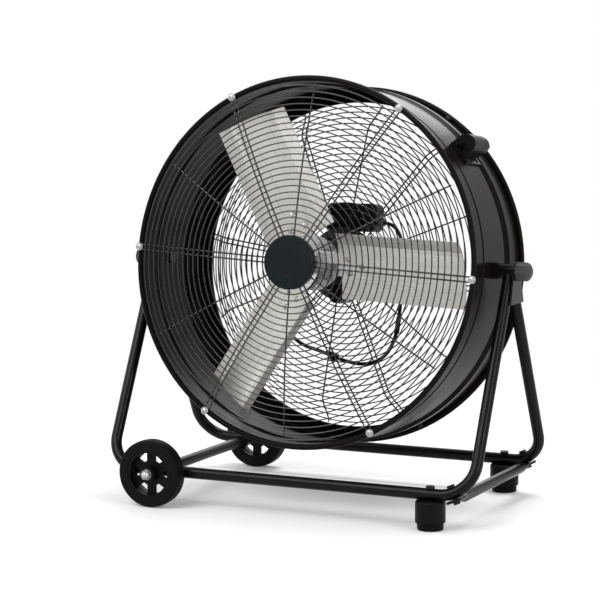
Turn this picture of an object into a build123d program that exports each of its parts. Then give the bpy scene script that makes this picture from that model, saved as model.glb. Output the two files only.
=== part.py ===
from build123d import *
import math
import os

os.makedirs("parts", exist_ok=True)

# A 24 inch drum fan on a wheeled tube frame, in millimetres. +Z is up, the air
# leaves towards -Y, and the origin is on the floor under the middle of the fan.
# Pieces of the drum are drawn level about the tilt axis, with depths counted
# along the drum's own Y axis, and are then leaned back and lifted by on_drum().

# ---------------------------------------------------------------- drum sizes
rim_radius = 340.0          # outside of the rolled rims
bead_radius = 5.0           # section of a rolled rim
bead_sides = 6
wall_radius = 331.0         # outer face of the drum's sheet
drum_sheet = 1.5
drum_depth = 244.0          # front rim's centre to rear rim's centre
pivot_setback = 108.0       # front rim's centre to the tilt axis
pivot_height = 440.0
rest_tilt = 6.0             # degrees nose-up as the fan stands
groove_setback = 57.0       # narrow groove behind the front rim
groove_depth = 3.5
groove_half = 4.0
valley_setback = 168.0      # valley in front of the stiffening rib
valley_depth = 4.5
valley_half = 5.0
rib_setback = 187.0
rib_height = 4.0
rib_half = 6.0
rib_slope = 4.0

# Inlet ring inside the rear rim
inlet_flange = 22.0         # drum's wall to the edge of the inlet
inlet_sheet = 1.5
inlet_skirt = 18.0
inlet_lip = 5.0
inlet_recess = 4.0          # rear rim's centre to the ring's rear face
sheet_gap = 0.2
inlet_bolt_inset = 14.0     # rear rim's centre to the radial bolts
inlet_bolt_count = 6
inlet_bolt_phase = -3.0

# ---------------------------------------------------------------- grilles
ring_wire = 2.4
spoke_wire = 3.0
ring_seat = 0.15            # rings stand this far off the spokes, at their weld spots
hairpin_gap = 9.2           # between the centres of a hairpin's two legs
hairpin_count = 6
ring_sides = 24
inner_ring_sides = 12       # of the rings inside inner_ring_radius
inner_ring_radius = 110.0
front_phase = -3.0          # degrees, first hairpin of the front grille
front_ring_first = 58.0
front_ring_last = 324.0
front_ring_pitch = 11.6
front_spoke_start = 36.0
front_bulge = 34.0          # the middle stands this far before the rim
rear_phase = 52.0
rear_ring_first = 81.0
rear_ring_margin = 7.0      # edge of the inlet to the largest ring
rear_ring_pitch = 11.6
rear_spoke_start = 52.0
rear_basket_depth = 45.0    # the middle lies this far inside the inlet ring
rear_basket_side = 47.0     # edge of the inlet to the basket's floor
rear_edge_margin = 5.0      # edge of the inlet to the bend over its flange
rear_spoke_margin = 2.0     # edge of the inlet to the single spokes' ends
rear_basket_rise = 10.0
rear_flat_radius = 84.0

# Screws of the grilles
screw_radius = 2.5
screw_head_radius = 5.0
screw_head_height = 3.2
washer_radius = 7.2
washer_thickness = 1.2
screw_reach = 6.0
hole_gap = 0.15             # radial clearance of a screw or bolt in its hole

# Round cap in the middle of the front grille
cap_radius = 49.0
cap_depth = 15.0
cap_sheet = 2.0
cap_round = 3.0
cap_plate_radius = 44.0
cap_plate_thickness = 2.5
cap_screw_circle = 24.0
cap_screw_count = 3

# ---------------------------------------------------------------- motor
motor_radius = 50.0
motor_shell = 3.0
motor_length = 98.0
motor_rear_y = 70.0         # rear face, on the mount plate
end_cover_depth = 20.0
end_cover_wall = 5.0
shaft_radius = 7.0
shaft_gap = 0.05
bearing_radius = 16.0
bearing_width = 10.0
stator_bore = 28.0
stator_length = 42.0
rotor_gap = 0.6
mount_plate_radius = 70.0
mount_plate_thickness = 3.0
motor_bolt_circle = 37.0
motor_bolt_radius = 3.0
motor_bolt_reach = 9.0
grommet_offset = 31.0       # from the motor's axis to its lead
grommet_radius = 6.5
capacitor_radius = 13.0
capacitor_length = 58.0
capacitor_angle = -68.0
strap_thickness = 1.2
strap_width = 14.0

# ---------------------------------------------------------------- fan wheel
blade_count = 3
blade_phase = -2.0
blade_tip_radius = 300.0
blade_root_radius = 54.0
blade_sheet = 1.8
blade_panel = 84.0          # flat middle of the chord
blade_flap = 24.0           # folded strip along each edge
blade_fold = 15.0           # degrees
blade_pitch = 24.0          # degrees
blade_y = -57.0             # middle of the chord
spider_radius = 50.0
spider_sheet = 3.0
spider_arm_width = 46.0
spider_arm_reach = 108.0
spider_boss_radius = 17.0
spider_boss_front = -74.0
spider_boss_rear = -36.0
rivet_radius = 3.0
rivet_head_radius = 6.0
rivet_head_height = 2.0
rivet_places = ((72.0, -14.0), (72.0, 14.0), (98.0, 0.0))
shaft_nut_radius = 11.0
shaft_nut_height = 9.0
shaft_front_y = -86.0

# ---------------------------------------------------------------- switch box
box_width = 104.0
box_height = 53.0
box_depth = 31.0
box_x = 10.0
box_z = 89.0
box_corner = 12.0
box_wall = 3.0
box_gap = 1.0               # between the box and the grille's rings
box_lid = 3.0
clamp_width = 66.0
clamp_height = 12.0
clamp_thickness = 3.0
clamp_screw_x = 22.0
clamp_z = 84.0              # between two rings of the grille
lid_screw_inset = 9.0
knob_radius = 16.0
knob_height = 14.0
knob_spindle_radius = 3.0
knob_x = 26.0
gland_radius = 7.5
gland_length = 10.0

# Lead from the switch box to the motor, clipped to the rear grille: its points
# are (x, depth, z) in the drum's level frame.
lead_radius = 3.5
lead_sides = 8
lead_route = [
    (84.0, 97.0, 81.0), (102.0, 96.0, 66.0), (114.0, 93.5, 38.0), (119.0, 91.0, 4.0),
    (117.0, 90.0, -40.0), (113.0, 90.0, -88.0), (108.0, 90.0, -134.0),
    (88.0, 90.0, -172.0), (50.0, 90.0, -189.0), (4.0, 90.0, -184.0),
    (-44.0, 90.0, -168.0), (-90.0, 90.0, -157.0), (-124.0, 90.0, -128.0),
    (-124.0, 90.0, -82.0), (-98.0, 90.0, -44.0), (-64.0, 91.0, -16.0),
    (-31.0, 92.0, 0.0), (-31.0, 76.0, 0.0)]
clip_point_count = 10       # the clip is on the run up to this point, counted from 0
clip_size = (17.0, 15.0, 11.0)
sleeve_point_count = 6      # the heat-shrunk sleeve is on the run up to this point
sleeve_radius = 4.8
sleeve_length = 30.0
sleeve_slack = 0.7

# ---------------------------------------------------------------- carry handle
# The handle's outlines are (distance along the drum's wall, height above it).
handle_angle = 38.5
handle_y = 26.0             # middle of the handle
handle_length = 72.0
handle_base_thickness = 4.0
handle_base_edges = (-21.0, 27.0)
handle_outline = (
    (-6.0, 4.0), (-8.5, 16.0), (-9.0, 27.0), (-5.5, 36.5), (3.0, 40.0),
    (11.0, 40.0), (19.5, 36.0), (25.5, 28.0), (27.0, 16.0), (26.5, 4.0))
handle_hollow = (
    (15.5, 4.0), (14.5, 11.0), (11.0, 18.0), (6.0, 20.5), (1.5, 19.5), (-0.5, 16.0), (0.0, 4.0))
handle_rivet_place = -13.5  # along the wall
handle_rivet_head = 4.5
handle_screw_place = 21.0
handle_screw_reach = 12.0
handle_fastener_spread = 22.5

# ---------------------------------------------------------------- tilt pivots
boss_side = 30.0
boss_height = 14.0
pivot_bolt_radius = 6.0
pivot_head_radius = 12.0
pivot_head_height = 4.0
pivot_washer_radius = 12.0
pivot_washer_thickness = 2.6
running_gap = 0.05
face_gap = 0.3
pin_round_from = 4.5        # smaller fasteners have six sides, larger ones ten
sleeve_tube_radius = 14.0
clamp_knob_radius = 17.0
clamp_knob_length = 26.0
clamp_knob_lobes = 8
clamp_knob_flute = 1.8

# ---------------------------------------------------------------- frame
tube_radius = 10.5
leg_x = 362.0               # legs' centre line, to each side
rail_y = 184.0              # rails' centre lines, to front and rear
tube_sides = 16
tube_bore_radius = 9.2
tube_bore_sides = 8
bend_radius = 60.0
gusset_thickness = 4.0
gusset_drop = 58.0
gusset_top_width = 34.0
gusset_bottom_width = 66.0
brace_x = 327.0             # cross tube at the foot end
brace_radius = 10.0
brace_tab = 5.0
brace_tab_width = 27.0
brace_taper = 26.0
brace_bolt_radius = 4.0
brace_bolt_head = 7.0
axle_x = -256.0
axle_tube_radius = 10.0
axle_radius = 5.0

# Wheels and feet
wheel_radius = 62.5
tyre_inner_radius = 44.0
tyre_width = 31.0
tyre_round = 6.0
wheel_web = 6.0
wheel_rim_wall = 5.0
wheel_boss_radius = 14.0
wheel_boss_width = 36.0
wheel_spokes = 6
wheel_spoke_width = 17.0
wheel_window_inner = 24.0
axle_washer_radius = 10.0
axle_washer_thickness = 1.6
axle_side_gap = 0.4
cap_nut_radius = 9.4
cap_nut_height = 6.0
foot_x = 285.0
foot_radius = 27.0
foot_sides = 16
foot_sole_radius = 23.5
foot_sole_height = 13.0
foot_socket_depth = 6.0
foot_bolt_radius = 4.0
foot_bolt_head_radius = 8.0
foot_bolt_head_height = 4.5
foot_nut_z = foot_sole_height + foot_socket_depth - 5.0

# ---------------------------------------------------------------- worked out
front_y = -pivot_setback
rear_y = drum_depth - pivot_setback
bead_centre = rim_radius - bead_radius
grille_seat_y = front_y - bead_radius * math.cos(math.pi / bead_sides)
inlet_face_y = rear_y - inlet_recess
inlet_radius = wall_radius - inlet_flange
rear_ring_last = inlet_radius - rear_ring_margin
rear_basket_radius = inlet_radius - rear_basket_side
rail_z = wheel_radius
mount_plate_y = motor_rear_y
rear_spoke_y = motor_rear_y + mount_plate_thickness + spoke_wire
boss_face_x = wall_radius + boss_height
sleeve_start_x = boss_face_x + pivot_washer_thickness + face_gap
gusset_x = leg_x + tube_radius
sleeve_end_x = gusset_x + gusset_thickness
clamp_knob_x = sleeve_end_x + face_gap
wheel_inner_y = rail_y + tube_radius + axle_washer_thickness + axle_side_gap
wheel_centre_y = wheel_inner_y + wheel_boss_width / 2


# ---------------------------------------------------------------- helpers
def on_drum(shape):
    """Leans a level piece of the drum back and lifts it to the tilt axis."""
    return Pos(0, 0, pivot_height) * Rot(-rest_tilt, 0, 0) * shape


def turned(outline):
    """Revolves an outline of (radius, depth) points about the Y axis."""
    return revolve(make_face(Polyline(*outline, close=True)), axis=Axis.Y)


def about_axis(shape, angle):
    """Turns a piece about the Y axis, anticlockwise as the front is seen."""
    return Rot(0, -angle, 0) * shape


def rod_x(radius, start, end, y=0.0, z=0.0):
    return Pos((start + end) / 2, y, z) * Rot(0, 90, 0) * Cylinder(radius, abs(end - start))


def rod_y(radius, start, end, x=0.0, z=0.0):
    return Pos(x, (start + end) / 2, z) * Rot(90, 0, 0) * Cylinder(radius, abs(end - start))


def rod_z(radius, start, end, x=0.0, y=0.0):
    return Pos(x, y, (start + end) / 2) * Cylinder(radius, abs(end - start))


def pin_z(radius, start, end, x=0.0, y=0.0, sides=0):
    """Small fastener, or its hole, drawn with flat sides."""
    sides = sides or (6 if radius < pin_round_from else 10)
    return Pos(x, y, min(start, end)) * extrude(RegularPolygon(radius, sides), abs(end - start))


def pin_x(radius, start, end, y=0.0, z=0.0):
    return Pos(0, y, z) * Rot(0, 90, 0) * pin_z(radius, start, end)


def pin_y(radius, start, end, x=0.0, z=0.0, sides=0):
    return Pos(x, 0, z) * Rot(-90, 0, 0) * pin_z(radius, start, end, sides=sides)


def group(pieces):
    return Compound(children=list(pieces))


def both_sides(shape):
    """A piece of the right-hand side and its mirror image on the left."""
    return group([shape, mirror(shape, Plane.YZ)])


# ---------------------------------------------------------------- drum
def rolled_rim(y):
    """Curled edge of the sheet, with flats to the front and to the rear."""
    return revolve(Pos(bead_centre, y) * RegularPolygon(bead_radius, bead_sides), axis=Axis.Y)


def drum_shell():
    """Rolled sheet with a groove, a valley and a rib, and a bead at each rim."""
    groove = front_y + groove_setback
    valley = front_y + valley_setback
    rib = front_y + rib_setback
    crest = wall_radius + rib_height
    outside = [
        (wall_radius, front_y), (wall_radius, groove - groove_half),
        (wall_radius - groove_depth, groove), (wall_radius, groove + groove_half),
        (wall_radius, valley - valley_half), (wall_radius - valley_depth, valley),
        (crest, rib - rib_half), (crest, rib + rib_half),
        (wall_radius, rib + rib_half + rib_slope), (wall_radius, rear_y)]
    inside = [(radius - drum_sheet, y) for radius, y in reversed(outside)]
    shell = turned(outside + inside) + rolled_rim(front_y) + rolled_rim(rear_y)
    for side in (-1, 1):
        near, far = side * (wall_radius - 9), side * (wall_radius + 9)
        shell -= rod_x(pivot_bolt_radius + hole_gap, near, far)
    holes = inlet_bolt_shanks(hole_gap) + handle_rivets(hole_gap) + handle_screws(hole_gap)
    for hole in holes + grille_screw_shanks(hole_gap):
        shell -= hole
    return shell


def inlet_ring():
    """Flanged ring that closes the drum's back down to the inlet."""
    outer = wall_radius - drum_sheet - sheet_gap
    skirt_y = inlet_face_y - inlet_skirt
    ring = turned([
        (outer, skirt_y), (outer, inlet_face_y), (inlet_radius, inlet_face_y),
        (inlet_radius, inlet_face_y - inlet_lip),
        (inlet_radius + inlet_sheet, inlet_face_y - inlet_lip),
        (inlet_radius + inlet_sheet, inlet_face_y - inlet_sheet),
        (outer - inlet_sheet, inlet_face_y - inlet_sheet), (outer - inlet_sheet, skirt_y)])
    for pin in inlet_bolt_shanks(hole_gap) + rear_screw_shanks(hole_gap):
        ring -= pin
    return ring


def inlet_bolt_angles():
    return [inlet_bolt_phase + 360 / inlet_bolt_count * i for i in range(inlet_bolt_count)]


def inlet_bolt_shanks(gap=0.0):
    y = rear_y - inlet_bolt_inset
    start = wall_radius - drum_sheet - sheet_gap - inlet_sheet - 3
    shank = pin_x(screw_radius + gap, start, wall_radius + 1, y)
    return [about_axis(shank, angle) for angle in inlet_bolt_angles()]


def inlet_bolts():
    """Pan-head bolts through the drum's wall into the inlet ring."""
    head = pin_x(screw_head_radius, wall_radius, wall_radius + 7, rear_y - inlet_bolt_inset)
    pieces = []
    for shank, angle in zip(inlet_bolt_shanks(), inlet_bolt_angles()):
        pieces.append(shank + about_axis(head, angle))
    return group(pieces)


# ---------------------------------------------------------------- wire grilles
def along(profile, radius):
    """Depth and unit tangent of a grille's outer face at a radius."""
    for (r0, y0), (r1, y1) in zip(profile, profile[1:]):
        if radius <= r1:
            break
    length = math.hypot(r1 - r0, y1 - y0)
    y = y0 + (y1 - y0) * (radius - r0) / (r1 - r0)
    return y, ((r1 - r0) / length, (y1 - y0) / length)


def wire_ring(profile, radius, outward):
    """Wire bent to a many-sided ring that lies on the spokes, with a three-sided section."""
    y, (tr, ty) = along(profile, radius)
    half = ring_wire / 2
    nr, ny = -outward * ty, outward * tr
    r, d = radius + nr * ring_seat, y + ny * ring_seat
    section = [(r - tr * half, d - ty * half), (r + tr * half, d + ty * half),
               (r + nr * ring_wire, d + ny * ring_wire)]
    sides = inner_ring_sides if radius < inner_ring_radius else ring_sides
    turns = [2 * math.pi * k / sides for k in range(sides)]
    loops = [[Vector(r * math.cos(a), d, r * math.sin(a)) for a in turns] for r, d in section]
    faces = []
    for here, there in zip(loops, loops[1:] + loops[:1]):
        for k in range(sides):
            n = (k + 1) % sides
            faces.append(Face(Wire.make_polygon([here[k], here[n], there[n], there[k]])))
    return Solid(Shell(faces))


def spoke_strip(profile, start, end, outward):
    """Square wire that follows the profile in the XY plane from start to end."""
    inner = [(start, along(profile, start)[0])]
    inner += [(r, y) for r, y in profile if start < r < end]
    inner += [(end, along(profile, end)[0])]
    back = [(r, y - outward * spoke_wire) for r, y in reversed(inner)]
    strip = make_face(Polyline(*(inner + back), close=True))
    return extrude(strip, spoke_wire / 2, both=True)


def hairpin(profile, start, eye_radius, seat_y, outward):
    """Two spokes joined by a round bend, which is the eye for a screw."""
    leg = spoke_strip(profile, start, eye_radius, outward)
    offset = hairpin_gap / 2
    reach = (offset + spoke_wire / 2) / math.cos(math.pi / 12)
    bend = pin_y(reach, seat_y, seat_y + outward * spoke_wire, eye_radius, sides=12)
    bend -= pin_y(reach - spoke_wire, seat_y - 9, seat_y + 9, eye_radius, sides=12)
    bend &= Pos(eye_radius + 25, seat_y, 0) * Box(50, 40, 50)
    return Pos(0, 0, offset) * leg + Pos(0, 0, -offset) * leg + bend


def grille_rings(profile, radii, phase, outward):
    """Rings that are welded to the spokes where they cross."""
    return [about_axis(wire_ring(profile, radius, outward), phase) for radius in radii]


def grille_spokes(profile, start, end, eye_radius, seat_y, phase, outward):
    """Hairpins and single spokes by turns."""
    pin = hairpin(profile, start, eye_radius, seat_y, outward)
    spoke = spoke_strip(profile, start, end, outward)
    pieces = []
    for k in range(hairpin_count):
        angle = phase + 360 / hairpin_count * k
        pieces.append(about_axis(pin, angle))
        pieces.append(about_axis(spoke, angle + 180 / hairpin_count))
    return pieces


def ring_radii(first, last, pitch):
    gaps = round((last - first) / pitch)
    return [first + (last - first) * k / gaps for k in range(gaps + 1)]


def front_profile():
    """Outer face of the front grille's spokes: flat under the cap, then a shallow dome."""
    rim_y = grille_seat_y - spoke_wire
    shares = ((0.0, 1.0), (0.16, 1.0), (0.36, 0.92), (0.6, 0.71), (0.84, 0.34), (1.0, 0.0), (1.2, 0.0))
    return [(share * front_ring_last, rim_y - rise * front_bulge) for share, rise in shares]


def front_grille():
    radii = ring_radii(front_ring_first, front_ring_last - ring_wire, front_ring_pitch)
    rings = grille_rings(front_profile(), radii, front_phase, -1)
    return group(rings + grille_spokes(front_profile(), front_spoke_start, front_ring_last,
                                       bead_centre, grille_seat_y, front_phase, -1))


def rear_profile():
    """Outer face of the rear grille's spokes: a basket sunk into the drum."""
    rim_y = inlet_face_y + spoke_wire
    floor_y = rear_spoke_y
    return [(0.0, floor_y), (rear_flat_radius, floor_y),
            (rear_basket_radius, floor_y + rear_basket_rise),
            (inlet_radius - rear_edge_margin, rim_y), (wall_radius, rim_y)]


def rear_eye_radius():
    return (inlet_radius + wall_radius) / 2


def rear_grille_rings():
    """Rings on the floor of the basket."""
    radii = [r for r in ring_radii(rear_ring_first, rear_ring_last, rear_ring_pitch) if r <= rear_basket_radius]
    return group(grille_rings(rear_profile(), radii, rear_phase, 1))


def rear_grille_side_rings():
    """Rings on the steep side of the basket."""
    radii = [r for r in ring_radii(rear_ring_first, rear_ring_last, rear_ring_pitch) if r > rear_basket_radius]
    return group(grille_rings(rear_profile(), radii, rear_phase, 1))


def rear_grille_spokes():
    return group(grille_spokes(rear_profile(), rear_spoke_start, inlet_radius - rear_spoke_margin,
                               rear_eye_radius(), inlet_face_y, rear_phase, 1))


def grille_screw_shanks(gap=0.0):
    shank = pin_y(screw_radius + gap, grille_seat_y - spoke_wire, grille_seat_y + screw_reach,
                  bead_centre)
    return [about_axis(shank, front_phase + 360 / hairpin_count * k) for k in range(hairpin_count)]


def rear_screw_shanks(gap=0.0):
    shank = pin_y(screw_radius + gap, inlet_face_y - screw_reach, inlet_face_y + spoke_wire,
                  rear_eye_radius())
    return [about_axis(shank, rear_phase + 360 / hairpin_count * k) for k in range(hairpin_count)]


def screws_on(shanks, radius, face_y, phase, outward):
    """Pan heads with captive washers on the outer ends of a ring of shanks."""
    head_y = face_y + outward * washer_thickness
    top = pin_y(washer_radius, face_y, head_y, radius)
    top += pin_y(screw_head_radius, head_y, head_y + outward * screw_head_height, radius)
    pieces = []
    for k, shank in enumerate(shanks):
        pieces.append(shank + about_axis(top, phase + 360 / hairpin_count * k))
    return group(pieces)


def front_grille_screws():
    return screws_on(grille_screw_shanks(), bead_centre, grille_seat_y - spoke_wire, front_phase, -1)


def rear_grille_screws():
    return screws_on(rear_screw_shanks(), rear_eye_radius(), inlet_face_y + spoke_wire, rear_phase, 1)


def cap_seat_y():
    """Front face of the front grille's spokes at the middle."""
    return along(front_profile(), front_spoke_start)[0]


def cap_screws_at(radius, start, end):
    pins = []
    for k in range(cap_screw_count):
        pin = pin_y(radius, start, end, cap_screw_circle)
        pins.append(about_axis(pin, front_phase + 15 + 360 / cap_screw_count * k))
    return pins


def front_hub_cap():
    """Shallow round cap over the spokes' inner ends, open at the back."""
    back = cap_seat_y()
    inside = cap_radius - cap_sheet
    cap = turned([
        (0, back - cap_depth), (cap_radius - cap_round, back - cap_depth),
        (cap_radius, back - cap_depth + cap_round), (cap_radius, back), (inside, back),
        (inside, back - cap_depth + cap_round), (inside - cap_round, back - cap_depth + cap_sheet),
        (0, back - cap_depth + cap_sheet)])
    for post in cap_screws_at(5.0, back - cap_depth + cap_sheet, back):
        cap += post
    for hole in cap_screws_at(1.6 + hole_gap, back - 9, back + 1):
        cap -= hole
    return cap


def front_hub_plate():
    """Disc behind the spokes' inner ends, which the cap is screwed to."""
    start = cap_seat_y() + spoke_wire
    plate = rod_y(cap_plate_radius, start, start + cap_plate_thickness)
    for hole in cap_screws_at(1.6 + hole_gap, start - 1, start + cap_plate_thickness + 1):
        plate -= hole
    return plate


def front_hub_screws():
    plate_back = cap_seat_y() + spoke_wire + cap_plate_thickness
    shanks = cap_screws_at(1.6, cap_seat_y() - 8, plate_back)
    heads = cap_screws_at(3.4, plate_back, plate_back + 2.2)
    return group([shank + head for shank, head in zip(shanks, heads)])


# ---------------------------------------------------------------- motor
def motor_bolt_shanks(gap=0.0, start=0.0):
    end = motor_rear_y + mount_plate_thickness
    pins = []
    for k in range(4):
        pin = pin_y(motor_bolt_radius + gap, motor_rear_y - motor_bolt_reach, end + start, motor_bolt_circle)
        pins.append(about_axis(pin, 45 + 90 * k))
    return pins


def motor_mount_plate():
    """Disc welded to the rear grille's spokes, which carries the motor."""
    end = motor_rear_y + mount_plate_thickness
    plate = rod_y(mount_plate_radius, motor_rear_y, end)
    plate -= rod_y(bearing_radius + 4, motor_rear_y - 1, end + 1)
    plate -= pin_y(grommet_radius + hole_gap, motor_rear_y - 1, end + 1, -grommet_offset)
    for hole in motor_bolt_shanks(hole_gap, 1.0):
        plate -= hole
    return plate


def motor_bolts():
    end = motor_rear_y + mount_plate_thickness
    head = pin_y(motor_bolt_radius * 1.9, end, end + 4, motor_bolt_circle, sides=6)
    pieces = []
    for k, shank in enumerate(motor_bolt_shanks()):
        pieces.append(shank + about_axis(head, 45 + 90 * k))
    return group(pieces)


def motor_housing():
    """Plain steel shell between the two end covers."""
    front = motor_rear_y - motor_length + end_cover_depth
    rear = motor_rear_y - end_cover_depth
    return rod_y(motor_radius, front, rear) - rod_y(motor_radius - motor_shell, front - 1, rear + 1)


def end_cover(face_y, inward):
    """Cast cup with a bearing pocket; inward is +1 for the cover at the front."""
    rim = face_y + inward * end_cover_depth
    floor = face_y + inward * end_cover_wall
    pocket = floor + inward * bearing_width
    return turned([
        (shaft_radius + 1.5, face_y), (motor_radius - 12, face_y), (motor_radius, face_y + inward * 9),
        (motor_radius, rim), (motor_radius - 5, rim), (motor_radius - 5, pocket),
        (bearing_radius, pocket), (bearing_radius, floor), (shaft_radius + 1.5, floor)])


def motor_front_cover():
    return end_cover(motor_rear_y - motor_length, 1)


def motor_rear_cover():
    cover = end_cover(motor_rear_y, -1)
    cover -= pin_y(grommet_radius - 1.5, motor_rear_y - 25, motor_rear_y + 1, -grommet_offset)
    for hole in motor_bolt_shanks(hole_gap, 1.0):
        cover -= hole
    return cover


def bearing(face_y, inward):
    start = face_y + inward * end_cover_wall
    ring = rod_y(bearing_radius, start, start + inward * bearing_width)
    return ring - rod_y(shaft_radius + shaft_gap, start - 20, start + 20)


def motor_bearings():
    return group([bearing(motor_rear_y - motor_length, 1), bearing(motor_rear_y, -1)])


def stator_middle():
    return motor_rear_y - motor_length / 2


def stator():
    half = stator_length / 2
    core = rod_y(motor_radius - motor_shell, stator_middle() - half, stator_middle() + half)
    return core - rod_y(stator_bore, stator_middle() - 40, stator_middle() + 40)


def rotor():
    half = stator_length / 2
    core = rod_y(stator_bore - rotor_gap, stator_middle() - half, stator_middle() + half)
    return core - rod_y(shaft_radius, stator_middle() - 40, stator_middle() + 40)


def motor_shaft():
    rear_end = motor_rear_y - end_cover_wall - 0.5
    return rod_y(shaft_radius, spider_boss_front, rear_end) + rod_y(shaft_radius - 1.5, shaft_front_y, rear_end)


def capacitor_centre():
    return motor_radius + capacitor_radius + strap_thickness


def motor_capacitor():
    """Round run capacitor strapped along the underside of the motor."""
    middle = stator_middle()
    can = rod_y(capacitor_radius, middle - capacitor_length / 2, middle + capacitor_length / 2,
                capacitor_centre())
    return about_axis(chamfer(can.edges(), 1.2), capacitor_angle)


def capacitor_strap():
    """Sheet clip round the capacitor, with a pad that lies on the motor."""
    middle = stator_middle()
    start, end = middle - strap_width / 2, middle + strap_width / 2
    centre = capacitor_centre()
    ring = rod_y(capacitor_radius + strap_thickness, start, end, centre)
    pad = Pos(motor_radius + 1, middle, 0) * Box(6, strap_width, 24)
    strap = ring + pad - rod_y(capacitor_radius, start - 1, end + 1, centre)
    strap -= rod_y(motor_radius, start - 1, end + 1)
    return about_axis(strap, capacitor_angle)


# ---------------------------------------------------------------- fan wheel
def blade_section():
    """Folded chord in (tangent, depth): a flat panel with a strip bent forward at each edge."""
    half = blade_panel / 2
    fold = math.radians(blade_fold)
    run, rise = blade_flap * math.cos(fold), blade_flap * math.sin(fold)
    front = [(-half - run, -rise), (-half, 0.0), (half, 0.0), (half + run, -rise)]
    rear = [(u, w + blade_sheet) for u, w in reversed(front)]
    return make_face(Polyline(*(front + rear), close=True))


def blade_plane():
    """Plane across a blade that points along +X; its y runs to the rear, square to the panel."""
    pitch = math.radians(blade_pitch)
    return Plane(origin=(0, blade_y, 0), x_dir=(0, math.sin(pitch), -math.cos(pitch)), z_dir=(1, 0, 0))


def blade_piece():
    blank = extrude(blade_plane() * blade_section(), blade_tip_radius + 20)
    blank &= rod_y(blade_tip_radius, -200, 100)
    blank -= Box(2 * blade_root_radius, rim_radius, rim_radius)
    for hole in blade_rivet_shanks(hole_gap):
        blank -= hole
    return blank


def blade_rivet_shanks(gap=0.0):
    """Rivets square to the flat panel of a blade that points along +X."""
    pins = []
    for along_blade, across in rivet_places:
        pin = pin_z(rivet_radius + gap, 0, blade_sheet + spider_sheet)
        pins.append(blade_flat(along_blade, across) * pin)
    return pins


def blade_flat(along_blade, across):
    """Place on the blade's front face, with z towards the rear."""
    pitch = math.radians(blade_pitch)
    origin = (along_blade, blade_y - across * math.sin(pitch), across * math.cos(pitch))
    return Plane(origin=origin, x_dir=(1, 0, 0), z_dir=(0, math.cos(pitch), math.sin(pitch)))


def blade(index):
    return about_axis(blade_piece(), blade_phase + 360 / blade_count * index)


def blade_rivets():
    pieces = []
    for index in range(blade_count):
        for place, shank in zip(rivet_places, blade_rivet_shanks()):
            head = blade_flat(*place) * pin_z(rivet_head_radius, -rivet_head_height, 0)
            rivet = shank + head
            pieces.append(about_axis(rivet, blade_phase + 360 / blade_count * index))
    return group(pieces)


def blade_spider():
    """Hub boss and disc with three pitched arms behind the blades."""
    spider = rod_y(spider_boss_radius, spider_boss_front, spider_boss_rear)
    disc_y = blade_y + blade_sheet
    spider += rod_y(spider_radius, disc_y, disc_y + spider_sheet)
    length = spider_arm_reach - 8
    arm = Pos(8 + length / 2, 0, blade_sheet + spider_sheet / 2) * Box(length, spider_arm_width, spider_sheet)
    arm = blade_flat(0, 0) * arm
    for hole in blade_rivet_shanks(hole_gap):
        arm -= hole
    for index in range(blade_count):
        spider += about_axis(arm, blade_phase + 360 / blade_count * index)
    return spider - rod_y(shaft_radius, -200, 100)


def shaft_nut():
    front = spider_boss_front - shaft_nut_height
    nut = pin_y(shaft_nut_radius, front, spider_boss_front, sides=6)
    return nut - rod_y(shaft_radius - 1.5, front - 5, spider_boss_front + 5)


# ---------------------------------------------------------------- switch box
def box_front_y():
    """Just behind the rings that the box stands on."""
    reach = math.hypot(abs(box_x) + box_width / 2, box_z + box_height / 2)
    return along(rear_profile(), reach)[0] + ring_wire + box_gap


def rounded_block(width, height, depth, corner, x, y, z):
    """Block with rounded corners as seen from the front; y is its front face."""
    block = extrude(RectangleRounded(width, height, corner), depth)
    return Pos(x, y + depth, z) * Rot(90, 0, 0) * block


def switch_box():
    front = box_front_y()
    case = rounded_block(box_width, box_height, box_depth, box_corner, box_x, front, box_z)
    case -= rounded_block(box_width - 2 * box_wall, box_height - 2 * box_wall, box_depth,
                          box_corner - box_wall, box_x, front + box_wall, box_z)
    for x, z in lid_screw_places():
        case += pin_y(4.6, front + box_wall - 1, front + box_depth, x, z)
        case -= pin_y(1.6 + hole_gap, front + box_depth - 12, front + box_depth + 1, x, z)
    for x in (-clamp_screw_x, clamp_screw_x):
        case -= pin_y(2.0 + hole_gap, front - 1, front + box_wall + 1, x, clamp_z)
    end = box_x + box_width / 2
    return case - rod_x(lead_radius + 2, end - box_wall - 3, end + 1, lead_route[0][1], lead_route[0][2])


def lid_screw_places():
    dx, dz = box_width / 2 - lid_screw_inset, box_height / 2 - lid_screw_inset
    return [(box_x + sx * dx, box_z + sz * dz) for sx in (-1, 1) for sz in (-1, 1)]


def lid_y():
    return box_front_y() + box_depth


def switch_box_lid():
    lid = rounded_block(box_width, box_height, box_lid, box_corner, box_x, lid_y(), box_z)
    for x, z in lid_screw_places():
        lid -= pin_y(1.6 + hole_gap, lid_y() - 1, lid_y() + box_lid + 1, x, z)
    return lid - rod_y(knob_spindle_radius + running_gap, lid_y() - 1, lid_y() + box_lid + 1, knob_x, box_z)


def switch_box_screws():
    """Four screws of the lid and two that pull the clamp towards the box."""
    pieces = []
    for x, z in lid_screw_places():
        shank = pin_y(1.6, lid_y() - 10, lid_y() + box_lid, x, z)
        pieces.append(shank + pin_y(3.2, lid_y() + box_lid, lid_y() + box_lid + 1.8, x, z))
    face = clamp_y() - clamp_thickness
    for x in (-clamp_screw_x, clamp_screw_x):
        shank = pin_y(2.0, face, box_front_y() + box_wall, x, clamp_z)
        pieces.append(shank + pin_y(4.2, face - 2.6, face, x, clamp_z))
    return group(pieces)


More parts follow.
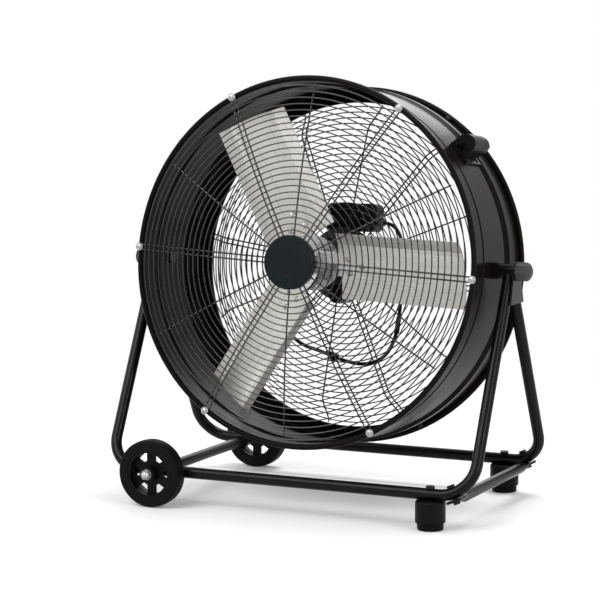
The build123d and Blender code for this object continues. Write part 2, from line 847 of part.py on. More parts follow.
def speed_knob():
    """Pointer knob with a spindle that goes through the lid."""
    start = lid_y() + box_lid + face_gap
    knob = rod_y(knob_radius, start, start + 4, knob_x, box_z)
    grip = rod_y(knob_radius - 3, start + 4, start + knob_height, knob_x, box_z)
    grip &= Pos(knob_x, start + 10, box_z) * Box(11, 30, 60)
    return knob + grip + rod_y(knob_spindle_radius, lid_y() - 8, start + 1, knob_x, box_z)


def selector_switch():
    """Rotary switch body behind the lid, with a blind hole for the knob's spindle."""
    body = Pos(knob_x, lid_y() - 9, box_z) * Box(24, 18, 24)
    return body - rod_y(knob_spindle_radius + running_gap, lid_y() - 9, lid_y() + 1, knob_x, box_z)


def clamp_y():
    """Just before the front side of the rear grille's spokes."""
    return rear_spoke_y - spoke_wire - sheet_gap


def switch_box_clamp():
    """Flat bar on the inside of the rear grille that holds the box on."""
    face = clamp_y()
    bar = Pos(0, face - clamp_thickness / 2, clamp_z) * Box(clamp_width, clamp_thickness, clamp_height)
    for x in (-clamp_screw_x, clamp_screw_x):
        bar -= pin_y(2.0 + hole_gap, face - 9, face + 1, x, clamp_z)
    return bar


def lead_gland():
    """Grey gland on the end of the box that the lead leaves by."""
    end = box_x + box_width / 2
    y, z = lead_route[0][1], lead_route[0][2]
    gland = pin_x(gland_radius, end, end + gland_length, y, z)
    gland += rod_x(lead_radius + 2, end - box_wall, end, y, z)
    return gland - rod_x(lead_radius + running_gap, end - 20, end + 40, y, z)


def mains_gland():
    """Gland in the lid where the mains cord goes in; the cord isn't part of this."""
    x, z = box_x - box_width / 2 + 24, box_z
    start = lid_y() + box_lid
    gland = pin_y(8.0, start, start + 9, x, z) + pin_y(6.0, start + 9, start + 14, x, z)
    return gland - pin_y(4.0, start + 2, start + 20, x, z)


# ---------------------------------------------------------------- motor lead
def rounded_path(points):
    """Straight runs joined by arcs that take 45% of the shorter run beside them."""
    radii = []
    for before, here, after in zip(points, points[1:], points[2:]):
        a, b = Vector(*before) - Vector(*here), Vector(*after) - Vector(*here)
        turn = math.pi - a.get_angle(b) * math.pi / 180
        radii.append(0.45 * min(a.length, b.length) / math.tan(turn / 2))
    return FilletPolyline(*points, radius=radii), radii


def swept_bar(path, radius, sides):
    """Round bar along a path, drawn with flat sides, and its section's area."""
    section = Plane(origin=path @ 0, z_dir=path % 0) * RegularPolygon(radius, sides)
    return sweep(section, path=path), section.area


def lead_start():
    end = box_x + box_width / 2 - box_wall
    return (end, lead_route[0][1], lead_route[0][2])


def motor_lead():
    """Round cable from the switch box to the motor's rear cover."""
    path, radii = rounded_path([lead_start()] + lead_route)
    lead, area = swept_bar(path, lead_radius, lead_sides)
    print("lead: length", round(path.length), "mm, volume share", round(lead.volume / area / path.length, 4))
    print("lead: bend radii", [round(r) for r in radii])
    return lead


def run_frame(end):
    """Plane at the middle of the lead's run up to a point, with z along the run."""
    a, b = Vector(*lead_route[end - 1]), Vector(*lead_route[end])
    return Plane(origin=(a + b) * 0.5, x_dir=(0, 1, 0), z_dir=b - a)


def lead_clip():
    """Block that holds the lead on the rear grille's rings."""
    length, width, height = clip_size
    plane = run_frame(clip_point_count)
    block = plane * Box(height, width, length)
    return block - plane * Cylinder(lead_radius + running_gap, 40)


def lead_sleeve():
    plane = run_frame(sleeve_point_count)
    sleeve = plane * Cylinder(sleeve_radius, sleeve_length)
    return sleeve - plane * Cylinder(lead_radius + sleeve_slack, 60)


def motor_grommet():
    """Rubber bush in the mount plate that the lead enters the motor by."""
    start = motor_rear_y
    bush = pin_y(grommet_radius, start, start + mount_plate_thickness, -grommet_offset)
    bush += pin_y(grommet_radius + 2, start + mount_plate_thickness, start + 7, -grommet_offset)
    return bush - rod_y(lead_radius + running_gap, start - 9, start + 20, -grommet_offset)


# ---------------------------------------------------------------- carry handle
def handle_pins(radius, start, end, along_wall):
    """Two pins through the drum's wall, at heights above it, one behind the other."""
    pins = []
    for y in (handle_y - handle_fastener_spread, handle_y + handle_fastener_spread):
        pin = pin_x(radius, wall_radius + start, wall_radius + end, y, along_wall)
        pins.append(about_axis(pin, handle_angle))
    return pins


def handle_rivets(gap=0.0):
    return handle_pins(rivet_radius + gap, -4, handle_base_thickness, handle_rivet_place)


def handle_screws(gap=0.0):
    """Screws from inside the drum, through the base into the grip."""
    return handle_pins(screw_radius + gap, -drum_sheet - 1.2, handle_base_thickness + handle_screw_reach,
                       handle_screw_place)


def handle_bracket():
    """Plate on the drum's wall under the grip, with a flange for the rivets."""
    low, high = handle_base_edges
    plate = Box(handle_base_thickness + 4, handle_length, high - low)
    plate = Pos(wall_radius + handle_base_thickness / 2 - 2, handle_y, (low + high) / 2) * plate
    plate = about_axis(plate - rod_y(wall_radius, -drum_depth, drum_depth), handle_angle)
    for hole in handle_rivets(hole_gap) + handle_screws(hole_gap):
        plate -= hole
    return plate


def handle_grip():
    """Moulded grip with a hollow right through it, which stands on the plate."""
    section = make_face(Polyline(
        *[(wall_radius + height, place) for place, height in handle_outline + handle_hollow], close=True))
    grip = Rot(90, 0, 0) * extrude(section, handle_length)
    grip = about_axis(Pos(0, handle_y + handle_length / 2, 0) * grip, handle_angle)
    for hole in handle_screws(hole_gap):
        grip -= hole
    return grip


def handle_fasteners():
    """Rivets of the flange and the grip's screws, which have their heads inside the drum."""
    heads = handle_pins(handle_rivet_head, handle_base_thickness, handle_base_thickness + rivet_head_height,
                        handle_rivet_place)
    heads += handle_pins(screw_head_radius, -drum_sheet - 1.2 - screw_head_height, -drum_sheet - 1.2,
                         handle_screw_place)
    return group([pin + head for pin, head in zip(handle_rivets() + handle_screws(), heads)])


# ---------------------------------------------------------------- tilt pivots
def pivot_boss():
    """Square block on the drum's wall round the pivot bolt."""
    block = Pos(boss_face_x - boss_height / 2 - 2, 0, 0) * Box(boss_height + 4, boss_side, boss_side)
    block = fillet(block.edges().filter_by(Axis.X), 4)
    block -= rod_y(wall_radius, -boss_side, boss_side)
    return block - rod_x(pivot_bolt_radius + hole_gap, wall_radius / 2, leg_x)


def pivot_bolt():
    """Bolt from inside the drum, through boss, sleeve and gusset into the knob."""
    inside = wall_radius - drum_sheet - 0.4
    tip = clamp_knob_x + clamp_knob_length - 8
    return rod_x(pivot_bolt_radius, inside, tip) + rod_x(pivot_head_radius, inside - pivot_head_height, inside)


def pivot_washer():
    washer = rod_x(pivot_washer_radius, boss_face_x, boss_face_x + pivot_washer_thickness)
    return washer - rod_x(pivot_bolt_radius + hole_gap, wall_radius, leg_x)


def clamp_knob(side):
    """Fluted knob with a rounded end, on the pivot bolt's outer end."""
    end = clamp_knob_x + clamp_knob_length
    outline = []
    for k in range(4 * clamp_knob_lobes):
        reach = clamp_knob_radius - (clamp_knob_flute if k % 4 > 1 else 0.0)
        angle = math.pi * (k + 0.5) / (2 * clamp_knob_lobes)
        outline.append((reach * math.cos(angle), reach * math.sin(angle)))
    knob = Pos(clamp_knob_x, 0, 0) * Rot(0, 90, 0) * extrude(
        make_face(Polyline(*outline, close=True)), clamp_knob_length)
    dome = revolve(make_face(Polyline(
        (clamp_knob_x, 0), (clamp_knob_x, clamp_knob_radius + 1), (end - 9, clamp_knob_radius + 1),
        (end - 3.5, clamp_knob_radius - 2.5), (end, clamp_knob_radius - 8), (end, 0), close=True)), axis=Axis.X)
    knob &= dome
    knob -= rod_x(pivot_bolt_radius + running_gap, clamp_knob_x - 1, end - 7)
    return knob if side > 0 else mirror(knob, Plane.YZ)


# ---------------------------------------------------------------- frame
def loop_path(side):
    corners = [(-leg_x, 0, pivot_height), (-leg_x, side * rail_y, rail_z),
               (leg_x, side * rail_y, rail_z), (leg_x, 0, pivot_height)]
    return FilletPolyline(*corners, radius=bend_radius)


def frame_loop(side):
    """U of bent tube from one apex to the other; side is -1 for the front."""
    tube = swept_bar(loop_path(side), tube_radius, tube_sides)[0]
    tube -= swept_bar(loop_path(side), tube_bore_radius, tube_bore_sides)[0]
    tube -= rod_x(sleeve_tube_radius, -2 * leg_x, 2 * leg_x, 0, pivot_height)
    tube &= Pos(0, side * rail_y, rail_z) * Box(3 * leg_x, 2 * rail_y, 2 * pivot_height)
    tube -= rod_y(axle_radius + hole_gap, -2 * rail_y, 2 * rail_y, axle_x, rail_z)
    tube -= pin_z(foot_bolt_radius + hole_gap, rail_z - 20, rail_z + 20, foot_x, side * rail_y)
    return tube - brace_place(side) * pin_z(brace_bolt_radius + hole_gap, -20, 40)


def brace_place(side):
    """Where the cross tube meets the underside of a bend: z up through the tube, x along it."""
    lean = math.atan2(rail_y, pivot_height - rail_z)
    turn = math.asin((brace_x - (leg_x - bend_radius)) / bend_radius)
    rise = bend_radius * (1 - math.cos(turn))
    slope = math.atan(math.tan(turn) * math.cos(lean))
    centre = Pos(brace_x, side * (rail_y - rise * math.sin(lean)), rail_z + rise * math.cos(lean))
    return centre * Rot(0, -math.degrees(slope), 0) * Pos(0, 0, -tube_radius)


def pivot_sleeve():
    """Short tube across the top of the legs that the pivot bolt turns in."""
    sleeve = rod_x(sleeve_tube_radius, sleeve_start_x, sleeve_end_x, 0, pivot_height)
    return sleeve - rod_x(pivot_bolt_radius + running_gap, wall_radius, 2 * leg_x, 0, pivot_height)


def apex_gusset():
    """Plate welded across the outer sides of the two legs."""
    top, bottom = pivot_height, pivot_height - gusset_drop
    outline = Polyline((-gusset_top_width / 2, top), (gusset_top_width / 2, top),
                       (gusset_bottom_width / 2, bottom), (-gusset_bottom_width / 2, bottom), close=True)
    plate = make_face(outline) + Pos(0, top) * Circle(gusset_top_width / 2)
    plate = Plane(origin=(gusset_x, 0, 0), x_dir=(0, 1, 0), z_dir=(1, 0, 0)) * extrude(plate, gusset_thickness)
    return plate - rod_x(sleeve_tube_radius, wall_radius, 2 * leg_x, 0, pivot_height)


def cross_brace():
    """Tube under the bends at the foot end, pressed flat where it is bolted."""
    reach = brace_place(1).position.Y
    straight = reach - tube_radius - brace_taper
    brace = rod_y(brace_radius, -straight, straight, 0, -brace_tab / 2)
    for side in (-1, 1):
        start, end = side * straight, side * (straight + brace_taper)
        round_end = Plane(origin=(0, start, -brace_tab / 2), x_dir=(1, 0, 0), z_dir=(0, side, 0))
        flat_end = Plane(origin=(0, end, -brace_tab / 2), x_dir=(1, 0, 0), z_dir=(0, side, 0))
        brace += loft([round_end * Circle(brace_radius), flat_end * Rectangle(brace_tab_width, brace_tab)])
        brace += Pos(0, side * (reach + 1), -brace_tab / 2) * Box(brace_tab_width, 2 * tube_radius + 2, brace_tab)
        brace -= Pos(0, side * reach, 0) * pin_z(brace_bolt_radius + hole_gap, -20, 20)
    return Pos(0, -reach, 0) * brace_place(1) * brace


def through_bolt(bottom, top, radius, head_radius, head_height):
    """Bolt along Z with a round head at the top and a nut above the bottom end."""
    bolt = pin_z(radius, bottom, top) + pin_z(head_radius, top, top + head_height)
    return bolt + pin_z(radius + 3, bottom, bottom + 5, sides=6)


def rail_bolts():
    """Bolts of the cross tube and of the feet, down through the tube."""
    pieces = []
    for side in (-1, 1):
        hollow = brace_bolt_head ** 2 / (bend_radius - tube_radius) / 2
        brace_bolt = through_bolt(-brace_tab - 5, 2 * tube_radius + hollow, brace_bolt_radius,
                                  brace_bolt_head, 4)
        pieces.append(brace_place(side) * brace_bolt)
        foot_bolt = through_bolt(foot_nut_z, rail_z + tube_radius, foot_bolt_radius,
                                 foot_bolt_head_radius, foot_bolt_head_height)
        pieces.append(Pos(foot_x, side * rail_y, 0) * foot_bolt)
    return group(pieces)


def axle_tube():
    """Spacer tube between the rails, round the axle."""
    tube = rod_y(axle_tube_radius, -rail_y, rail_y, axle_x, rail_z)
    for side in (-1, 1):
        tube -= rod_x(tube_radius, -leg_x, leg_x, side * rail_y, rail_z)
    return tube - rod_y(axle_radius + hole_gap, -2 * rail_y, 2 * rail_y, axle_x, rail_z)


def axle_rod():
    end = wheel_inner_y + wheel_boss_width + axle_side_gap + axle_washer_thickness + cap_nut_height
    return rod_y(axle_radius, -end, end, axle_x, rail_z)


def axle_washers():
    """A washer on each side of each wheel."""
    outer = wheel_inner_y + wheel_boss_width + axle_side_gap
    pieces = []
    for side in (-1, 1):
        for start in (rail_y + tube_radius, outer):
            end = start + axle_washer_thickness
            washer = pin_y(axle_washer_radius, side * start, side * end, axle_x, rail_z)
            pieces.append(washer - rod_y(axle_radius + hole_gap, -2 * rail_y, 2 * rail_y, axle_x, rail_z))
    return group(pieces)


def axle_nuts():
    """Domed cap nuts on the ends of the axle."""
    start = wheel_inner_y + wheel_boss_width + axle_side_gap + axle_washer_thickness
    end = start + cap_nut_height
    nut = pin_y(cap_nut_radius, start, end, sides=6)
    nut += turned([(0, end), (cap_nut_radius - 1.5, end), (cap_nut_radius - 3, end + 3.5),
                   (cap_nut_radius - 6, end + 6), (0, end + 6)])
    nut = Pos(axle_x, 0, rail_z) * (nut - rod_y(axle_radius, 0, end))
    return group([nut, mirror(nut, Plane.XZ)])


def wheel_tyre(side):
    half = tyre_width / 2
    tyre = turned([
        (tyre_inner_radius, -half), (wheel_radius - tyre_round, -half),
        (wheel_radius - 1.5, -half + tyre_round * 0.6), (wheel_radius, -half + tyre_round * 1.6),
        (wheel_radius, half - tyre_round * 1.6), (wheel_radius - 1.5, half - tyre_round * 0.6),
        (wheel_radius - tyre_round, half), (tyre_inner_radius, half)])
    return Pos(axle_x, side * wheel_centre_y, rail_z) * tyre


def wheel_hub(side):
    """Rim, thin web with six windows between ribs, and a boss on the axle."""
    half = tyre_width / 2 - 1.5
    rim_inside = tyre_inner_radius - wheel_rim_wall
    hub = rod_y(tyre_inner_radius, -half, half) - rod_y(rim_inside, -99, 99)
    hub += rod_y(rim_inside + 1, -wheel_web / 2, wheel_web / 2)
    ring = rod_y(rim_inside - 1, -20, 20) - rod_y(wheel_window_inner, -20, 20)
    bar = Pos(rim_inside / 2, 0, 0) * Box(rim_inside, 60, wheel_spoke_width)
    for k in range(wheel_spokes):
        ring -= about_axis(bar, 30 + 360 / wheel_spokes * k)
    hub -= ring
    hub += rod_y(wheel_boss_radius, -wheel_boss_width / 2, wheel_boss_width / 2)
    hub -= rod_y(axle_radius + running_gap, -99, 99)
    return Pos(axle_x, side * wheel_centre_y, rail_z) * hub


def foot_cap(side):
    """Ribbed cup that the rubber sole is pressed into, under a rail."""
    height = rail_z - tube_radius - foot_sole_height
    cup = extrude(RegularPolygon(foot_radius, foot_sides), height)
    cup = chamfer(cup.edges().group_by(Axis.Z)[-1], 2)
    cup -= pin_z(foot_sole_radius - 2, 0, foot_socket_depth, sides=foot_sides)
    cup -= pin_z(foot_bolt_radius + hole_gap, 0, height)
    return Pos(foot_x, side * rail_y, foot_sole_height) * cup


def foot_sole(side):
    """Rubber sole with a plug that fills the cup, hollowed for the bolt's nut."""
    sole = pin_z(foot_sole_radius, 0, foot_sole_height, sides=foot_sides)
    sole = chamfer(sole.edges().group_by(Axis.Z)[0], 1.5)
    sole += pin_z(foot_sole_radius - 2, foot_sole_height, foot_sole_height + foot_socket_depth,
                  sides=foot_sides)
    sole -= pin_z(foot_bolt_radius + 5, foot_nut_z - 1, foot_sole_height + foot_socket_depth)
    return Pos(foot_x, side * rail_y, 0) * sole


# ---------------------------------------------------------------- the whole fan
drum_pieces = {
    "drum_shell": drum_shell(),
    "inlet_ring": inlet_ring(),
    "inlet_ring_bolts": inlet_bolts(),
    "front_grille": front_grille(),
    "front_grille_screws": front_grille_screws(),
    "front_hub_cap": front_hub_cap(),
    "front_hub_plate": front_hub_plate(),
    "front_hub_screws": front_hub_screws(),
    "rear_grille_rings": rear_grille_rings(),
    "rear_grille_side_rings": rear_grille_side_rings(),
    "rear_grille_spokes": rear_grille_spokes(),
    "rear_grille_screws": rear_grille_screws(),
    "motor_mount_plate": motor_mount_plate(),
    "motor_bolts": motor_bolts(),
    "motor_housing": motor_housing(),
    "motor_front_cover": motor_front_cover(),
    "motor_rear_cover": motor_rear_cover(),
    "motor_bearings": motor_bearings(),
    "motor_stator": stator(),
    "motor_rotor": rotor(),
    "motor_shaft": motor_shaft(),
    "motor_capacitor": motor_capacitor(),
    "capacitor_strap": capacitor_strap(),
    "motor_grommet": motor_grommet(),
    "motor_lead": motor_lead(),
    "lead_clip": lead_clip(),
    "lead_sleeve": lead_sleeve(),
    "cable_glands": group([lead_gland(), mains_gland()]),
    "blade_spider": blade_spider(),
    "blade_rivets": blade_rivets(),
    "shaft_nut": shaft_nut(),
    "switch_box": switch_box(),
    "switch_box_lid": switch_box_lid(),
    "switch_box_screws": switch_box_screws(),
    "selector_switch": selector_switch(),
    "speed_knob": speed_knob(),
    "switch_box_clamp": switch_box_clamp(),
    "handle_bracket": handle_bracket(),
    "handle_grip": handle_grip(),
    "handle_fasteners": handle_fasteners(),
    "pivot_bosses": both_sides(pivot_boss()),
    "pivot_hardware": both_sides(group([pivot_bolt(), pivot_washer()])),
    "left_tilt_knob": clamp_knob(-1),
    "right_tilt_knob": clamp_knob(1),
}
for number in range(blade_count):
    drum_pieces[f"blade_{number + 1}"] = blade(number)

frame_pieces = {
    "front_frame_loop": frame_loop(-1),
    "rear_frame_loop": frame_loop(1),
    "apex_parts": both_sides(group([pivot_sleeve(), apex_gusset()])),
    "cross_brace": cross_brace(),
    "rail_bolts": rail_bolts(),
    "axle_tube": axle_tube(),
    "axle_hardware": group([axle_rod(), axle_washers(), axle_nuts()]),
    "foot_caps": group([foot_cap(-1), foot_cap(1)]),
    "foot_soles": group([foot_sole(-1), foot_sole(1)]),
}
for side, name in ((-1, "front"), (1, "rear")):
    frame_pieces[f"{name}_wheel_tyre"] = wheel_tyre(side)
    frame_pieces[f"{name}_wheel_hub"] = wheel_hub(side)

for name, shape in drum_pieces.items():
    export_step(on_drum(shape), f"parts/{name}.step")
for name, shape in frame_pieces.items():
    export_step(shape, f"parts/{name}.step")
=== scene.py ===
"""Looks of the drum fan: round wires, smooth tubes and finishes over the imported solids.

Lengths are in metres. Pieces of the drum are worked out in its own level frame, where x is to the
right, y is the depth behind the tilt axis and z is up, and on_drum() puts them in place.
"""

import math

import bmesh
import bpy
import numpy as np
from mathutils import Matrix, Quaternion, Vector


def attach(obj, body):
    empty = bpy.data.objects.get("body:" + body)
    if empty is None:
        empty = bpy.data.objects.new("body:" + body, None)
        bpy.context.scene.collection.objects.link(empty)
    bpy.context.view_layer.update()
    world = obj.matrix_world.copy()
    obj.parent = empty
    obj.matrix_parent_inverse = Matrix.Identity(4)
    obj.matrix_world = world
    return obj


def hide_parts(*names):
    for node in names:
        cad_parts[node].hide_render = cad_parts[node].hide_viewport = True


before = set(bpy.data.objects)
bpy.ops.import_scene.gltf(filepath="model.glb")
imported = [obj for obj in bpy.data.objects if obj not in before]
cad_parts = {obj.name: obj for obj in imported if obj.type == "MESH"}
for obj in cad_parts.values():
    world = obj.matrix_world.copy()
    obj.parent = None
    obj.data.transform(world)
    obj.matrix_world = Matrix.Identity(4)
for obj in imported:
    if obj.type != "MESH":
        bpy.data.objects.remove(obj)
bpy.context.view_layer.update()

# ------------------------------------------------------------------ sizes
PIVOT_HEIGHT = 0.440
REST_TILT = math.radians(6.0)

# drum
WALL_RADIUS = 0.331
FRONT_RIM_Y, REAR_RIM_Y = -0.108, 0.136
BEAD_CENTRE, BEAD_RADIUS = 0.335, 0.005
INLET_RADIUS, INLET_FACE_Y = 0.309, 0.132
FLANGE_MIDDLE = (INLET_RADIUS + WALL_RADIUS) / 2
INLET_BOLTS, INLET_BOLT_Y, INLET_BOLT_PHASE = 6, 0.122, -3.0

# grilles
RING_WIRE, SPOKE_WIRE = 0.0024, 0.003
RING_SEAT = 0.00015
HAIRPIN_GAP = 0.0092
HAIRPINS = 6
GRILLE_SEAT_Y = FRONT_RIM_Y - BEAD_RADIUS * math.cos(math.pi / 6)
FRONT_PHASE, REAR_PHASE = -3.0, 52.0
FRONT_RINGS, FRONT_RING_COUNT = (0.058, 0.3216), 24
REAR_RINGS, REAR_RING_COUNT = (0.081, 0.302), 20
FRONT_SPOKES = (0.036, 0.324)
REAR_SPOKES = (0.052, 0.307)
FRONT_BULGE, BULGE_POWER = 0.034, 2.4
MOTOR_REAR_Y, PLATE_THICKNESS = 0.070, 0.003
BASKET_FLOOR_Y = MOTOR_REAR_Y + PLATE_THICKNESS + SPOKE_WIRE
BASKET_FLAT, BASKET_RADIUS, BASKET_RISE = 0.084, 0.262, 0.010
BASKET_LIP = INLET_RADIUS - 0.005
PAST_WALL = WALL_RADIUS + 0.02
BASKET_BLEND, BLEND_SAMPLES = 0.008, 9

# blades: the turn of each, and its rivets' places along and across it
BLADE_TURNS = (-2.0, 118.0, 238.0)
BLADE_PITCH = math.radians(24.0)
BLADE_SEAT_Y = -0.057
RIVET_PLACES = ((0.072, -0.014), (0.072, 0.014), (0.098, 0.0))

# carry handle: the turn about the drum at which it stands, and its rivets
HANDLE_TURN, HANDLE_Y = 38.5, 0.026
FLANGE_TOP, FLANGE_Z = WALL_RADIUS + 0.004, -0.0135
HANDLE_RIVET_REACH = 0.0225

# chamfer of the washers under the grille screws
WASHER_EDGE = 0.0003

# frame and wheels
TUBE_RADIUS, BEND_RADIUS = 0.0105, 0.060
LEG_X, RAIL_Y, RAIL_Z = 0.362, 0.184, 0.0625
AXLE_X, WHEEL_Y = -0.256, 0.2145
TYRE_RADIUS, TYRE_HALF_WIDTH = 0.0625, 0.0155
SHOULDER_DROP, SHOULDER_WIDTH = 0.0042, 0.0046
TREAD_CROWN = 0.0006
SIDE_WALL = ((0.044, 0.0012), (0.0452, 0.0), (0.0472, 0.0), (0.0478, 0.0007), (0.0490, 0.0009))

LEAD_RADIUS, LEAD_LENGTH = 0.0035, 0.70
LEAD_ROUTE = np.array([
    (59, 97, 81), (84, 97, 81), (102, 96, 66), (114, 93.5, 38), (119, 91, 4), (117, 90, -40),
    (113, 90, -88), (108, 90, -134), (88, 90, -172), (50, 90, -189), (4, 90, -184),
    (-44, 90, -168), (-90, 90, -157), (-124, 90, -128), (-124, 90, -82), (-98, 90, -44),
    (-64, 91, -16), (-31, 92, 0), (-31, 76, 0)]) * 0.001

# steps of the worked-out surfaces
RING_STEPS, SPOKE_STEPS, EYE_STEPS, WIRE_SIDES = 96, 40, 13, 8
BEAD_STEPS, BEAD_SIDES = 180, 16
BEND_STEPS, TUBE_SIDES = 24, 32
HEAD_STEPS, RIVET_STEPS = 24, 20
TYRE_STEPS, SHOULDER_STEPS, TREAD_STEPS = 128, 9, 9

MERGE, COPY_MERGE = 1e-6, 2e-6
FLAT_ANGLE = math.radians(0.6)
BEVEL_SEGMENTS = 2
SKEW = (0.31, 0.17, 0.93)  # a direction that no part's axis follows


# ------------------------------------------------------------------ surfaces
def on_drum(points):
    """Leans level points back by the rest tilt about the X axis and lifts them to the tilt axis."""
    x, y, z = np.moveaxis(points, -1, 0)
    c, s = math.cos(REST_TILT), math.sin(REST_TILT)
    return np.stack([x, y * c + z * s, z * c - y * s + PIVOT_HEIGHT], -1)


def spun(points, degrees):
    """Turns points about the drum's Y axis, anticlockwise as the front is seen."""
    x, y, z = np.moveaxis(points, -1, 0)
    c, s = math.cos(math.radians(degrees)), math.sin(math.radians(degrees))
    return np.stack([x * c - z * s, y, x * s + z * c], -1)


def quads(rows, columns, close_rows):
    """Index rows of a grid's four-sided faces, wrapped along its rows and, if closed, its columns."""
    i = np.arange(rows if close_rows else rows - 1)[:, None]
    j = np.arange(columns)[None, :]
    here, below = i * columns, (i + 1) % rows * columns
    across = (j + 1) % columns
    return np.stack([here + j, here + across, below + across, below + j], -1).reshape(-1, 4)


def surface(grid, close_rows=False):
    """A grid of points as (points, faces): its last row joins its first, or both are capped."""
    rows, columns = grid.shape[:2]
    faces = quads(rows, columns, close_rows).tolist()
    if not close_rows:
        ends = np.arange(columns)
        faces += [ends[::-1].tolist(), ((rows - 1) * columns + ends).tolist()]
    return grid.reshape(-1, 3), faces


def joined(parts):
    """Several (points, faces) as one, with the later indices shifted."""
    points, faces, start = [], [], 0
    for part_points, part_faces in parts:
        points.append(part_points)
        faces += [[index + start for index in face] for face in part_faces]
        start += len(part_points)
    return np.concatenate(points), faces


def torus(radius, depth, wire, steps, sides):
    """Ring about Y: the circle of the radius at the depth, with a round section of the wire's radius."""
    turn = np.linspace(0, 2 * np.pi, steps, endpoint=False)[:, None]
    angle = np.linspace(0, 2 * np.pi, sides, endpoint=False)[None, :]
    reach = radius + wire * np.cos(angle)
    level = depth + wire * np.sin(angle) + 0 * turn
    return surface(np.stack([reach * np.cos(turn), level, reach * np.sin(turn)], -1), close_rows=True)


def pipe(path, radius, sides, across):
    """Round bar: each station's circle is square to the path; across is never along the path."""
    path = np.asarray(path, float)
    runs = np.diff(path, axis=0)
    runs /= np.linalg.norm(runs, axis=1)[:, None]
    tangent = np.concatenate([runs[:1], runs[:-1] + runs[1:], runs[-1:]])
    tangent /= np.linalg.norm(tangent, axis=1)[:, None]
    side = np.cross(tangent, across)
    side /= np.linalg.norm(side, axis=1)[:, None]
    up = np.cross(side, tangent)
    angle = np.linspace(0, 2 * np.pi, sides, endpoint=False)[None, :, None]
    return surface(path[:, None] + radius * (np.cos(angle) * side[:, None] + np.sin(angle) * up[:, None]))


def rounded(corners, radii, steps):
    """Straight runs joined by tangent arcs: an arc's point is centre + radius (cos t u + sin t v)."""
    corners = np.asarray(corners, float)
    stations = [corners[:1]]
    for before, here, after, radius in zip(corners, corners[1:], corners[2:], radii):
        back, on = before - here, after - here
        back, on = back / np.linalg.norm(back), on / np.linalg.norm(on)
        turn = math.pi - math.acos(np.clip(back @ on, -1, 1))
        bisector = (back + on) / np.linalg.norm(back + on)
        centre = here + bisector * radius / math.cos(turn / 2)
        u = (here + back * radius * math.tan(turn / 2) - centre) / radius
        t = np.linspace(0, turn, steps)[:, None]
        stations.append(centre + radius * (np.cos(t) * u - np.sin(t) * back))
    stations.append(corners[-1:])
    return np.concatenate(stations)


def turned(profile, steps, closed=False):
    """Revolves (radius, height) rows about Z: a closed profile gives a ring, another is capped."""
    profile = np.asarray(profile, float)
    turn = np.linspace(0, 2 * np.pi, steps, endpoint=False)[None, :]
    radius, height = profile[:, :1], profile[:, 1:]
    return surface(np.stack([radius * np.cos(turn), radius * np.sin(turn), height + 0 * turn], -1), closed)


def placed(part, origin, axis):
    """Stands a part made about Z on an origin, with its Z along the axis."""
    points, faces = part
    axis = np.asarray(axis, float) / np.linalg.norm(axis)
    side = np.cross(axis, SKEW)
    side /= np.linalg.norm(side)
    return np.asarray(origin) + points @ np.stack([side, np.cross(axis, side), axis]), faces


# ------------------------------------------------------------------ pieces
def dress(obj, finish, body, nodes=()):
    """Gives a piece its finish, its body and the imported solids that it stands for."""
    obj.data.materials.clear()
    obj.data.materials.append(finish)
    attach(obj, body)
    if nodes:
        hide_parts(*nodes)
    return obj


def build(name, part, finish, body, nodes=(), crease=35.0):
    """Makes (points, faces) a closed mesh with merged doubles and outward faces."""
    mesh = bpy.data.meshes.new(name)
    points, faces = part
    mesh.from_pydata(points.tolist(), [], faces)
    edit = bmesh.new()
    edit.from_mesh(mesh)
    bmesh.ops.remove_doubles(edit, verts=edit.verts, dist=MERGE)
    bmesh.ops.recalc_face_normals(edit, faces=edit.faces)
    edit.to_mesh(mesh)
    edit.free()
    mesh.shade_smooth()
    mesh.set_sharp_from_angle(angle=math.radians(crease))
    obj = bpy.data.objects.new(name, mesh)
    bpy.context.collection.objects.link(obj)
    return dress(obj, finish, body, nodes)


def softened(node, finish, body, width, crease=32.0):
    """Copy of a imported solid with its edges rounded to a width."""
    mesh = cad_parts[node].data.copy()
    edit = bmesh.new()
    edit.from_mesh(mesh)
    bmesh.ops.remove_doubles(edit, verts=edit.verts, dist=COPY_MERGE)
    bmesh.ops.dissolve_limit(edit, angle_limit=FLAT_ANGLE, verts=edit.verts, edges=edit.edges)
    edit.to_mesh(mesh)
    edit.free()
    mesh.shade_smooth()
    mesh.set_sharp_from_angle(angle=math.radians(crease))
    obj = bpy.data.objects.new(node + "_finished", mesh)
    bpy.context.collection.objects.link(obj)
    bevel = obj.modifiers.new("rounded edges", "BEVEL")
    bevel.width = width
    bevel.segments = BEVEL_SEGMENTS
    bevel.limit_method = "ANGLE"
    bevel.angle_limit = math.radians(crease)
    bevel.harden_normals = True
    bevel.use_clamp_overlap = True
    return dress(obj, finish, body, (node,))


